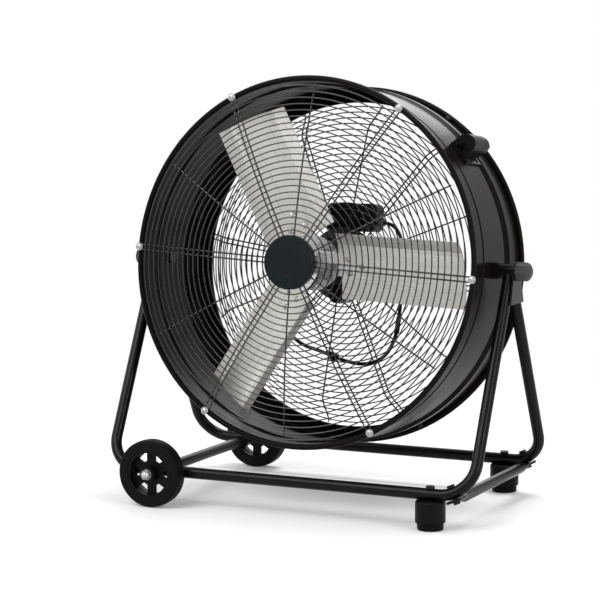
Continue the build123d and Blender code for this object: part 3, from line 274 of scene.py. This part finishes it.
# ------------------------------------------------------------------ finishes
class Finish:
    """Node material on Object coordinates, built up from a Principled shader."""

    def __init__(self, name, colour, roughness, metallic=0.0, specular=0.5):
        self.material = bpy.data.materials.new(name)
        self.material.use_nodes = True
        self.nodes = self.material.node_tree.nodes
        self.links = self.material.node_tree.links
        self.shader = self.nodes["Principled BSDF"]
        self.colour = (*colour, 1.0)
        self.roughness = roughness
        self.shader.inputs["Base Color"].default_value = self.colour
        self.shader.inputs["Roughness"].default_value = roughness
        self.shader.inputs["Metallic"].default_value = metallic
        self.shader.inputs["Specular IOR Level"].default_value = specular
        self.place = self.nodes.new("ShaderNodeTexCoord").outputs["Object"]
        self.height = None

    def noise(self, scale, detail, place=None, low=0.35, high=0.65):
        """Noise with its middle range spread over 0 to 1."""
        noise = self.nodes.new("ShaderNodeTexNoise")
        noise.inputs["Scale"].default_value = scale
        noise.inputs["Detail"].default_value = detail
        self.links.new(place or self.place, noise.inputs["Vector"])
        spread = self.nodes.new("ShaderNodeMapRange")
        spread.inputs["From Min"].default_value = low
        spread.inputs["From Max"].default_value = high
        self.links.new(noise.outputs["Fac"], spread.inputs["Value"])
        return spread.outputs["Result"]

    def varied(self, source, other, amount):
        """Base colour moves towards another one where the source is high."""
        mix = self.nodes.new("ShaderNodeMix")
        mix.data_type = "RGBA"
        mix.inputs["B"].default_value = (*other, 1.0)
        base = self.shader.inputs["Base Color"]
        if base.is_linked:
            self.links.new(base.links[0].from_socket, mix.inputs["A"])
        else:
            mix.inputs["A"].default_value = self.colour
        scale = self.nodes.new("ShaderNodeMath")
        scale.operation = "MULTIPLY"
        scale.inputs[1].default_value = amount
        self.links.new(source, scale.inputs[0])
        self.links.new(scale.outputs[0], mix.inputs["Factor"])
        self.links.new(mix.outputs["Result"], base)

    def uneven_gloss(self, source, spread):
        """Roughness runs from its value less the spread to its value plus the spread."""
        run = self.nodes.new("ShaderNodeMapRange")
        run.inputs["To Min"].default_value = self.roughness - spread
        run.inputs["To Max"].default_value = self.roughness + spread
        self.links.new(source, run.inputs["Value"])
        self.links.new(run.outputs["Result"], self.shader.inputs["Roughness"])

    def bumped(self, source, distance, strength):
        """Relief of a real height, added on top of earlier relief."""
        bump = self.nodes.new("ShaderNodeBump")
        bump.inputs["Distance"].default_value = distance
        bump.inputs["Strength"].default_value = strength
        self.links.new(source, bump.inputs["Height"])
        if self.height:
            self.links.new(self.height, bump.inputs["Normal"])
        self.height = bump.outputs["Normal"]
        self.links.new(self.height, self.shader.inputs["Normal"])


def shaded(colour, share, lift=0.0):
    """A colour times a share, with a little lift added to each channel."""
    return tuple(share * channel + lift for channel in colour)


def enamel(name, colour, roughness, peel, dust):
    """Sprayed black paint: orange peel, slightly uneven gloss and a film of dust."""
    f = Finish(name, colour, roughness, specular=0.038)
    f.uneven_gloss(f.noise(scale=9.0, detail=5.0), spread=0.04)
    f.varied(f.noise(scale=3.5, detail=6.0, low=0.45, high=0.75), dust, amount=0.15)
    f.bumped(f.noise(scale=420.0, detail=2.0), distance=peel, strength=0.35)
    return f.material


def powder_coat(name, colour, roughness, specular):
    """Baked powder: fine pebbled relief and rubbed, glossier patches."""
    f = Finish(name, colour, roughness, specular=specular)
    f.uneven_gloss(f.noise(scale=30.0, detail=4.0), spread=0.06)
    f.varied(f.noise(scale=55.0, detail=5.0, low=0.5, high=0.8), shaded(colour, 2.2), amount=0.4)
    f.bumped(f.noise(scale=900.0, detail=2.0), distance=0.0001, strength=0.35)
    return f.material


def moulded(name, colour, roughness):
    """Spark-eroded plastic: fine grain and faint scuffs."""
    f = Finish(name, colour, roughness, specular=0.08)
    f.uneven_gloss(f.noise(scale=60.0, detail=5.0), spread=0.07)
    scuffs = f.noise(scale=80.0, detail=6.0, low=0.55, high=0.8)
    f.varied(scuffs, shaded(colour, 1.6, lift=0.001), amount=0.5)
    f.bumped(f.noise(scale=1600.0, detail=3.0), distance=0.0001, strength=0.5)
    return f.material


def rubber(name, colour):
    """Dark rubber with a faint dry bloom."""
    f = Finish(name, colour, roughness=0.5, specular=0.06)
    f.uneven_gloss(f.noise(scale=40.0, detail=4.0), spread=0.09)
    bloom = f.noise(scale=22.0, detail=6.0, low=0.5, high=0.85)
    f.varied(bloom, (0.012, 0.0115, 0.0105), amount=0.5)
    f.bumped(f.noise(scale=700.0, detail=4.0), distance=0.00015, strength=0.4)
    return f.material


def plated(name, colour, roughness):
    """Zinc-plated steel: clouded grey spangle."""
    f = Finish(name, colour, roughness, metallic=1.0)
    f.uneven_gloss(f.noise(scale=180.0, detail=5.0), spread=0.1)
    f.varied(f.noise(scale=260.0, detail=4.0), shaded(colour, 0.68), amount=0.5)
    f.bumped(f.noise(scale=900.0, detail=2.0), distance=0.00006, strength=0.4)
    return f.material


def blade_sheet():
    """Rolled sheet: lines of the rolling along each blade and soft clouding."""
    f = Finish("blade sheet", (0.58, 0.565, 0.53), roughness=0.34, metallic=0.75)
    uv = f.nodes.new("ShaderNodeUVMap")
    uv.uv_map = "along_blade"
    stretch = f.nodes.new("ShaderNodeMapping")
    stretch.inputs["Scale"].default_value = (6.0, 260.0, 1.0)
    f.links.new(uv.outputs["UV"], stretch.inputs["Vector"])
    lines = f.noise(scale=1.0, detail=4.0, place=stretch.outputs["Vector"])
    clouds = f.noise(scale=7.0, detail=5.0)
    f.uneven_gloss(lines, spread=0.09)
    f.varied(lines, (0.50, 0.485, 0.455), amount=0.45)
    f.varied(clouds, (0.46, 0.445, 0.415), amount=0.25)
    f.bumped(lines, distance=0.00005, strength=0.35)
    return f.material


DRUM_BLACK = enamel("drum enamel", (0.0055, 0.005, 0.0041), roughness=0.24, peel=0.00004,
                    dust=(0.012, 0.011, 0.0095))
FRAME_BLACK = powder_coat("frame powder coat", (0.0035, 0.0035, 0.0035), roughness=0.18, specular=0.12)
WIRE_BLACK = powder_coat("wire powder coat", (0.003, 0.003, 0.003), roughness=0.3, specular=0.5)
HUB_BLACK = moulded("hub cap plastic", (0.006, 0.0095, 0.0105), roughness=0.3)
BOX_BLACK = moulded("black plastic", (0.003, 0.003, 0.003), roughness=0.4)
WHEEL_BLACK = moulded("wheel plastic", (0.003, 0.003, 0.003), roughness=0.38)
KNOB_GREY = moulded("grey plastic", (0.05, 0.0505, 0.048), roughness=0.45)
GLAND_GREY = moulded("gland plastic", (0.16, 0.16, 0.16), roughness=0.5)
MOTOR_GREY = powder_coat("motor paint", (0.008, 0.008, 0.0083), roughness=0.4, specular=0.1)
ZINC = plated("zinc plate", (0.46, 0.46, 0.465), roughness=0.34)
BLACK_ZINC = plated("black zinc plate", (0.02, 0.02, 0.02), roughness=0.36)
STEEL = plated("machined steel", (0.6, 0.6, 0.6), roughness=0.34)
SOLE_RUBBER = rubber("sole rubber", (0.0035, 0.0035, 0.0035))
TYRE_RUBBER = rubber("tyre rubber", (0.004, 0.004, 0.0037))
CABLE_RUBBER = rubber("cable sheath", (0.006, 0.006, 0.006))
BLADE_SILVER = blade_sheet()


# ------------------------------------------------------------------ wire grilles
def front_face(radius):
    """Depth of the front spokes' outer face: the rim plane less bulge (1 - s^2.4) for the share s."""
    share = np.clip(np.asarray(radius, float) / FRONT_SPOKES[1], 0, 1)
    return GRILLE_SEAT_Y - SPOKE_WIRE - FRONT_BULGE * (1 - share ** BULGE_POWER)


def rear_face(radius):
    """Depth of the rear spokes' outer face: a flat, a slow rise, a steep side and the rim, rounded
    by averaging over a span of 16 mm."""
    knots = [0, BASKET_FLAT, BASKET_RADIUS, BASKET_LIP, PAST_WALL]
    rim = INLET_FACE_Y + SPOKE_WIRE
    depths = [BASKET_FLOOR_Y, BASKET_FLOOR_Y, BASKET_FLOOR_Y + BASKET_RISE, rim, rim]
    span = np.linspace(-BASKET_BLEND, BASKET_BLEND, BLEND_SAMPLES)
    sampled = np.interp(np.asarray(radius, float)[..., None] + span, knots, depths)
    return sampled.mean(-1)


def wire_rings(face, first, last, count, outward):
    """Rings of round wire that lie on the spokes, at even steps of radius."""
    lift = outward * (RING_SEAT + RING_WIRE / 2)
    radii = np.linspace(first, last, count)
    return [torus(r, float(face(r)) + lift, RING_WIRE / 2, RING_STEPS, WIRE_SIDES) for r in radii]


def hairpin(face, start, eye, outward):
    """One wire that runs out at one side, bends round the eye and comes back at the other."""
    offset, depth = HAIRPIN_GAP / 2, -outward * SPOKE_WIRE / 2
    run = np.linspace(start, eye, SPOKE_STEPS)
    bend = np.linspace(np.pi / 2, -np.pi / 2, EYE_STEPS)[1:-1]
    x = np.concatenate([run, eye + offset * np.cos(bend), run[::-1]])
    z = np.concatenate([0 * run + offset, offset * np.sin(bend), 0 * run - offset])
    return pipe(np.stack([x, face(x) + depth, z], -1), SPOKE_WIRE / 2, WIRE_SIDES, (0, 1, 0))


def spoke(face, start, end, outward):
    """One wire along the face, from the start radius to the end radius."""
    run = np.linspace(start, end, SPOKE_STEPS)
    path = np.stack([run, face(run) - outward * SPOKE_WIRE / 2, 0 * run], -1)
    return pipe(path, SPOKE_WIRE / 2, WIRE_SIDES, (0, 1, 0))


def wire_grille(nodes, face, rings, count, spokes, eye, phase, outward):
    """Rings on spokes that are hairpins and single wires in turn, at even steps about the drum."""
    parts = wire_rings(face, *rings, count, outward)
    pin, single = hairpin(face, spokes[0], eye, outward), spoke(face, *spokes, outward)
    for k in range(HAIRPINS):
        angle = phase + 360 / HAIRPINS * k
        parts.append((spun(pin[0], angle), pin[1]))
        parts.append((spun(single[0], angle + 180 / HAIRPINS), single[1]))
    points, faces = joined(parts)
    return build(nodes[0] + "_wires", (on_drum(points), faces), WIRE_BLACK, "drum", nodes)


# ------------------------------------------------------------------ round tubes, beads and the lead
def rim_bead(name, depth):
    """Curled edge of the drum, a full round over the solid's flat-sided one."""
    points, faces = torus(BEAD_CENTRE, depth, BEAD_RADIUS, BEAD_STEPS, BEAD_SIDES)
    return build(name, (on_drum(points), faces), DRUM_BLACK, "drum")


def frame_loop(name, side):
    """U of round tube in a plane that leans from the apex to the rail."""
    corners = [(-LEG_X, 0, PIVOT_HEIGHT), (-LEG_X, side * RAIL_Y, RAIL_Z),
               (LEG_X, side * RAIL_Y, RAIL_Z), (LEG_X, 0, PIVOT_HEIGHT)]
    lean = (0, PIVOT_HEIGHT - RAIL_Z, side * RAIL_Y)
    tube = pipe(rounded(corners, [BEND_RADIUS] * 2, BEND_STEPS), TUBE_RADIUS, TUBE_SIDES, lean)
    return build(name, tube, FRAME_BLACK, "frame", (name,))


def motor_lead():
    """Cable from the switch box to the motor: a smooth line led by the route's points."""
    curve = bpy.data.curves.new("motor_lead", "CURVE")
    curve.dimensions = "3D"
    curve.bevel_depth, curve.bevel_resolution = LEAD_RADIUS, 4
    curve.use_fill_caps = True
    line = curve.splines.new("NURBS")
    line.points.add(len(LEAD_ROUTE) - 1)
    route = on_drum(LEAD_ROUTE)
    line.points.foreach_set("co", np.column_stack([route, np.ones(len(route))]).ravel())
    line.order_u = 3
    line.use_endpoint_u = True
    line.resolution_u = 12
    lead = bpy.data.objects.new("motor_lead_cable", curve)
    bpy.context.collection.objects.link(lead)
    dress(lead, CABLE_RUBBER, "drum", ("motor_lead",))


wire_grille(("front_grille",), front_face, FRONT_RINGS, FRONT_RING_COUNT, FRONT_SPOKES, BEAD_CENTRE,
            FRONT_PHASE, -1)
wire_grille(("rear_grille_rings", "rear_grille_side_rings", "rear_grille_spokes"), rear_face, REAR_RINGS,
            REAR_RING_COUNT, REAR_SPOKES, FLANGE_MIDDLE, REAR_PHASE, 1)
rim_bead("front_rim_bead", FRONT_RIM_Y)
rim_bead("rear_rim_bead", REAR_RIM_Y)
frame_loop("front_frame_loop", -1)
frame_loop("rear_frame_loop", 1)
motor_lead()


# ------------------------------------------------------------------ fasteners
def pan_head(radius, height, washer=0.0, washer_height=0.0):
    """Domed head with a socket, on a washer where it has one, from the seat up.

    The dome's rows are (radius cos 0.9 b, height (0.35 + 0.6 sin b)) for a bow angle b.
    """
    rows = [(0, 0), (washer or radius, 0)]
    if washer:
        rows += [(washer, washer_height * 0.7), (washer - WASHER_EDGE, washer_height),
                 (radius, washer_height)]
    bow = np.linspace(0.25, 1.25, 6)
    rows += [(radius * math.cos(b * 0.9), washer_height + height * (0.35 + 0.6 * math.sin(b)))
             for b in bow]
    top = washer_height + height
    socket_top, socket_floor, socket_depth = radius * 0.36, radius * 0.3, height * 0.55
    rows += [(socket_top, top), (socket_floor, top - socket_depth), (0, top - socket_depth)]
    return turned(rows, HEAD_STEPS)


def dome_head(radius, height):
    """Round rivet head: a half ellipse."""
    bow = np.linspace(0, math.pi / 2, 7)
    return turned([(0, 0)] + [(radius * math.cos(b), height * math.sin(b)) for b in bow], RIVET_STEPS)


def screws(name, head, places, finish, body):
    """The same head on a list of (origin, axis) places of the level drum."""
    points, faces = joined([placed(head, origin, axis) for origin, axis in places])
    return build(name, (on_drum(points), faces), finish, body, (name,))


def around(radius, depth, axis, count, phase):
    """Places on a circle about the drum's axis; the axis given is the one at angle 0."""
    angles = [phase + 360 / count * k for k in range(count)]
    start, axis = np.array([radius, depth, 0.0]), np.array(axis, float)
    return [(spun(start, a), spun(axis, a)) for a in angles]


def handle_rivets():
    """The two rivets in the flange of the handle's plate."""
    outward = spun(np.array([1.0, 0, 0]), HANDLE_TURN)
    seats = [np.array([FLANGE_TOP, HANDLE_Y + way, FLANGE_Z])
             for way in (-HANDLE_RIVET_REACH, HANDLE_RIVET_REACH)]
    return [(spun(seat, HANDLE_TURN), outward) for seat in seats]


def blade_rivets():
    """Three rivets on each arm, in the plane that the blade's pitch gives."""
    places = []
    for turn in BLADE_TURNS:
        outward = spun(np.array([0, -math.cos(BLADE_PITCH), -math.sin(BLADE_PITCH)]), turn)
        for way, across in RIVET_PLACES:
            seat = (way, BLADE_SEAT_Y - across * math.sin(BLADE_PITCH), across * math.cos(BLADE_PITCH))
            places.append((spun(np.array(seat), turn), outward))
    return places


grille_head = pan_head(radius=0.005, height=0.0032, washer=0.0072, washer_height=0.0012)
screws("front_grille_screws", grille_head,
       around(BEAD_CENTRE, GRILLE_SEAT_Y - SPOKE_WIRE, (0, -1, 0), HAIRPINS, FRONT_PHASE), ZINC, "drum")
screws("rear_grille_screws", grille_head,
       around(FLANGE_MIDDLE, INLET_FACE_Y + SPOKE_WIRE, (0, 1, 0), HAIRPINS, REAR_PHASE), ZINC, "drum")
screws("inlet_ring_bolts", pan_head(radius=0.005, height=0.007),
       around(WALL_RADIUS, INLET_BOLT_Y, (1, 0, 0), INLET_BOLTS, INLET_BOLT_PHASE), BLACK_ZINC, "drum")
screws("handle_fasteners", dome_head(radius=0.0045, height=0.002), handle_rivets(), BLACK_ZINC, "drum")
screws("blade_rivets", dome_head(radius=0.006, height=0.002), blade_rivets(), ZINC, "fan")


# ------------------------------------------------------------------ wheels
def tyre(name, side, body):
    """Moulded tyre: flat side walls, shoulders of a quarter ellipse and a tread crowned by 0.6 mm."""
    bow = np.linspace(0, np.pi / 2, SHOULDER_STEPS)
    side_wall = [(radius, TYRE_HALF_WIDTH - inset) for radius, inset in SIDE_WALL]
    shoulder = np.stack([TYRE_RADIUS - TREAD_CROWN - SHOULDER_DROP * (1 - np.sin(bow)),
                         TYRE_HALF_WIDTH - SHOULDER_WIDTH * (1 - np.cos(bow))], -1)
    half_tread = TYRE_HALF_WIDTH - SHOULDER_WIDTH
    across = np.linspace(half_tread, SHOULDER_WIDTH - TYRE_HALF_WIDTH, TREAD_STEPS)[1:-1]
    tread = np.stack([TYRE_RADIUS - TREAD_CROWN * (across / half_tread) ** 2, across], -1)
    upper = np.concatenate([side_wall, shoulder])
    rows = np.concatenate([upper, tread, upper[::-1] * (1, -1)])
    part = placed(turned(rows, TYRE_STEPS, closed=True), (AXLE_X, side * WHEEL_Y, RAIL_Z), (0, 1, 0))
    return build(name + "_moulding", part, TYRE_RUBBER, body, (name,), crease=40.0)


tyre("front_wheel_tyre", -1, "front_wheel")
tyre("rear_wheel_tyre", 1, "rear_wheel")

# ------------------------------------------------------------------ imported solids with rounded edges
for node, finish, body, width in (
        ("switch_box", BOX_BLACK, "drum", 0.0012), ("switch_box_lid", BOX_BLACK, "drum", 0.0012),
        ("handle_bracket", FRAME_BLACK, "drum", 0.0009), ("handle_grip", BOX_BLACK, "drum", 0.0025),
        ("pivot_bosses", BOX_BLACK, "drum", 0.0012), ("front_hub_cap", HUB_BLACK, "drum", 0.0012),
        ("left_tilt_knob", KNOB_GREY, "left_tilt_knob", 0.0009),
        ("right_tilt_knob", KNOB_GREY, "right_tilt_knob", 0.0009),
        ("speed_knob", BOX_BLACK, "speed_knob", 0.0009),
        ("front_wheel_hub", WHEEL_BLACK, "front_wheel", 0.0008),
        ("rear_wheel_hub", WHEEL_BLACK, "rear_wheel", 0.0008),
        ("apex_parts", FRAME_BLACK, "frame", 0.0008), ("cross_brace", FRAME_BLACK, "frame", 0.0008),
        ("foot_caps", BOX_BLACK, "frame", 0.0012), ("foot_soles", SOLE_RUBBER, "frame", 0.001),
        ("motor_front_cover", MOTOR_GREY, "drum", 0.0012), ("motor_rear_cover", MOTOR_GREY, "drum", 0.0012),
        ("motor_capacitor", BOX_BLACK, "drum", 0.0012), ("lead_clip", BOX_BLACK, "drum", 0.0008),
        ("axle_hardware", ZINC, "frame", 0.0004), ("rail_bolts", BLACK_ZINC, "frame", 0.0004)):
    softened(node, finish, body, width)


def blade(node, turn):
    """Blade with rounded edges, and a map of the way along it and across it in metres."""
    mesh = softened(node, BLADE_SILVER, "fan", 0.0004, crease=8.0).data
    points = np.empty(3 * len(mesh.vertices))
    mesh.vertices.foreach_get("co", points)
    x, y, z = points.reshape(-1, 3).T
    z = z - PIVOT_HEIGHT
    angle = math.radians(turn)
    level = z * math.cos(REST_TILT) + y * math.sin(REST_TILT)
    along = x * math.cos(angle) + level * math.sin(angle)
    across = level * math.cos(angle) - x * math.sin(angle)
    corners = np.empty(len(mesh.loops), int)
    mesh.loops.foreach_get("vertex_index", corners)
    layer = mesh.uv_layers.new(name="along_blade")
    layer.data.foreach_set("uv", np.stack([along, across], -1)[corners].ravel())


for node, turn in zip(("blade_1", "blade_2", "blade_3"), BLADE_TURNS):
    blade(node, turn)

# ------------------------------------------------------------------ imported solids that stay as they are
FLAT_FINISHES = {
    "drum_shell": DRUM_BLACK, "inlet_ring": DRUM_BLACK, "front_hub_plate": DRUM_BLACK,
    "motor_mount_plate": WIRE_BLACK, "motor_housing": MOTOR_GREY, "axle_tube": FRAME_BLACK,
    "motor_grommet": SOLE_RUBBER, "lead_sleeve": CABLE_RUBBER, "cable_glands": GLAND_GREY,
    "blade_spider": STEEL, "motor_bearings": STEEL, "motor_stator": STEEL, "motor_rotor": STEEL,
    "motor_shaft": STEEL, "selector_switch": BOX_BLACK, "switch_box_clamp": BLACK_ZINC,
    "switch_box_screws": BLACK_ZINC, "pivot_hardware": BLACK_ZINC}
for name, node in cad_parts.items():
    if not node.hide_render:
        node.data.materials.clear()
        node.data.materials.append(FLAT_FINISHES.get(name, ZINC))


# ------------------------------------------------------------------ floor, light and camera
FLOOR_REACH = 30.0
FADE_START, FADE_END = 0.5, 1.5
VEIL_AT_FAN = 0.12
ROOM_FILL = 0.28


def pale_floor():
    """Plain floor that keeps the shadow near the fan and fades to the white backdrop around it."""
    bpy.ops.mesh.primitive_plane_add(size=FLOOR_REACH)
    floor = bpy.context.object
    floor.name = "floor"
    material = bpy.data.materials.new("floor")
    material.use_nodes = True
    nodes, links = material.node_tree.nodes, material.node_tree.links
    diffuse = nodes["Principled BSDF"]
    diffuse.inputs["Base Color"].default_value = (0.9, 0.9, 0.9, 1)
    diffuse.inputs["Roughness"].default_value = 0.6
    diffuse.inputs["Specular IOR Level"].default_value = 0.2
    white = nodes.new("ShaderNodeEmission")
    white.inputs["Color"].default_value = (1, 1, 1, 1)
    place = nodes.new("ShaderNodeTexCoord")
    length = nodes.new("ShaderNodeVectorMath")
    length.operation = "LENGTH"
    links.new(place.outputs["Object"], length.inputs[0])
    fade = nodes.new("ShaderNodeMapRange")
    fade.inputs["From Min"].default_value = FADE_START
    fade.inputs["From Max"].default_value = FADE_END
    fade.inputs["To Min"].default_value = VEIL_AT_FAN
    links.new(length.outputs["Value"], fade.inputs["Value"])
    path = nodes.new("ShaderNodeLightPath")
    seen = nodes.new("ShaderNodeMath")
    seen.operation = "ADD"
    seen.use_clamp = True
    links.new(path.outputs["Is Camera Ray"], seen.inputs[0])
    links.new(path.outputs["Is Glossy Ray"], seen.inputs[1])
    factor = nodes.new("ShaderNodeMath")
    factor.operation = "MULTIPLY"
    links.new(fade.outputs["Result"], factor.inputs[0])
    links.new(seen.outputs[0], factor.inputs[1])
    mix = nodes.new("ShaderNodeMixShader")
    links.new(factor.outputs[0], mix.inputs["Fac"])
    links.new(diffuse.outputs[0], mix.inputs[1])
    links.new(white.outputs[0], mix.inputs[2])
    links.new(mix.outputs[0], nodes["Material Output"].inputs["Surface"])
    floor.data.materials.append(material)


def white_room():
    """World that is white where it is seen, mirrored or seen through, and a softer fill elsewhere."""
    world = bpy.data.worlds.new("room")
    world.use_nodes = True
    nodes, links = world.node_tree.nodes, world.node_tree.links
    background = nodes["Background"]
    background.inputs["Color"].default_value = (1, 1, 1, 1)
    path = nodes.new("ShaderNodeLightPath")
    seen = None
    for ray in ("Is Camera Ray", "Is Glossy Ray", "Is Transmission Ray"):
        either = nodes.new("ShaderNodeMath")
        either.operation = "MAXIMUM"
        links.new(path.outputs[ray], either.inputs[0])
        if seen:
            links.new(seen.outputs[0], either.inputs[1])
        seen = either
    strength = nodes.new("ShaderNodeMapRange")
    strength.inputs["To Min"].default_value = ROOM_FILL
    links.new(seen.outputs[0], strength.inputs["Value"])
    links.new(strength.outputs["Result"], background.inputs["Strength"])
    bpy.context.scene.world = world


def softbox(name, place, target, width, height, watts):
    """Flat lamp at a place, turned towards its target."""
    lamp = bpy.data.lights.new(name, "AREA")
    lamp.shape = "RECTANGLE"
    lamp.size, lamp.size_y, lamp.energy = width, height, watts
    obj = bpy.data.objects.new(name, lamp)
    obj.location = place
    obj.rotation_euler = (Vector(target) - Vector(place)).to_track_quat("-Z", "Y").to_euler()
    bpy.context.collection.objects.link(obj)


def photo_camera(target, azimuth, elevation, roll, distance, lens):
    """Camera at the photograph's angle: azimuth from the front towards +X, in degrees."""
    az, el = math.radians(azimuth), math.radians(elevation)
    way = Vector((math.sin(az) * math.cos(el), -math.cos(az) * math.cos(el), math.sin(el)))
    data = bpy.data.cameras.new("photo camera")
    data.sensor_width, data.lens = 36.0, lens
    camera = bpy.data.objects.new("photo camera", data)
    camera.location = Vector(target) + way * distance
    level = (-way).to_track_quat("-Z", "Y")
    camera.rotation_euler = (level @ Quaternion((0, 0, 1), math.radians(roll))).to_euler()
    bpy.context.collection.objects.link(camera)
    bpy.context.scene.camera = camera


pale_floor()
white_room()
softbox("key", (-1.1, -2.5, 2.9), (0, 0, 0.45), width=2.4, height=1.8, watts=78.0)
softbox("left", (-2.7, -0.9, 1.4), (0, 0, 0.45), width=1.4, height=1.4, watts=9.0)
softbox("right strip", (2.6, -1.0, 1.3), (0.3, 0, 0.45), width=0.12, height=2.2, watts=24.0)
softbox("overhead", (0.3, 0.9, 3.0), (0, 0, 0.3), width=1.6, height=1.2, watts=52.0)
softbox("back", (-0.8, 2.9, 1.5), (0, 0, 0.6), width=1.5, height=1.0, watts=8.0)
photo_camera(target=(-0.0549, 0.0, 0.3692), azimuth=25.8, elevation=6.6, roll=-0.3, distance=4.12, lens=132.0)

bpy.context.scene.view_settings.view_transform = "Standard"
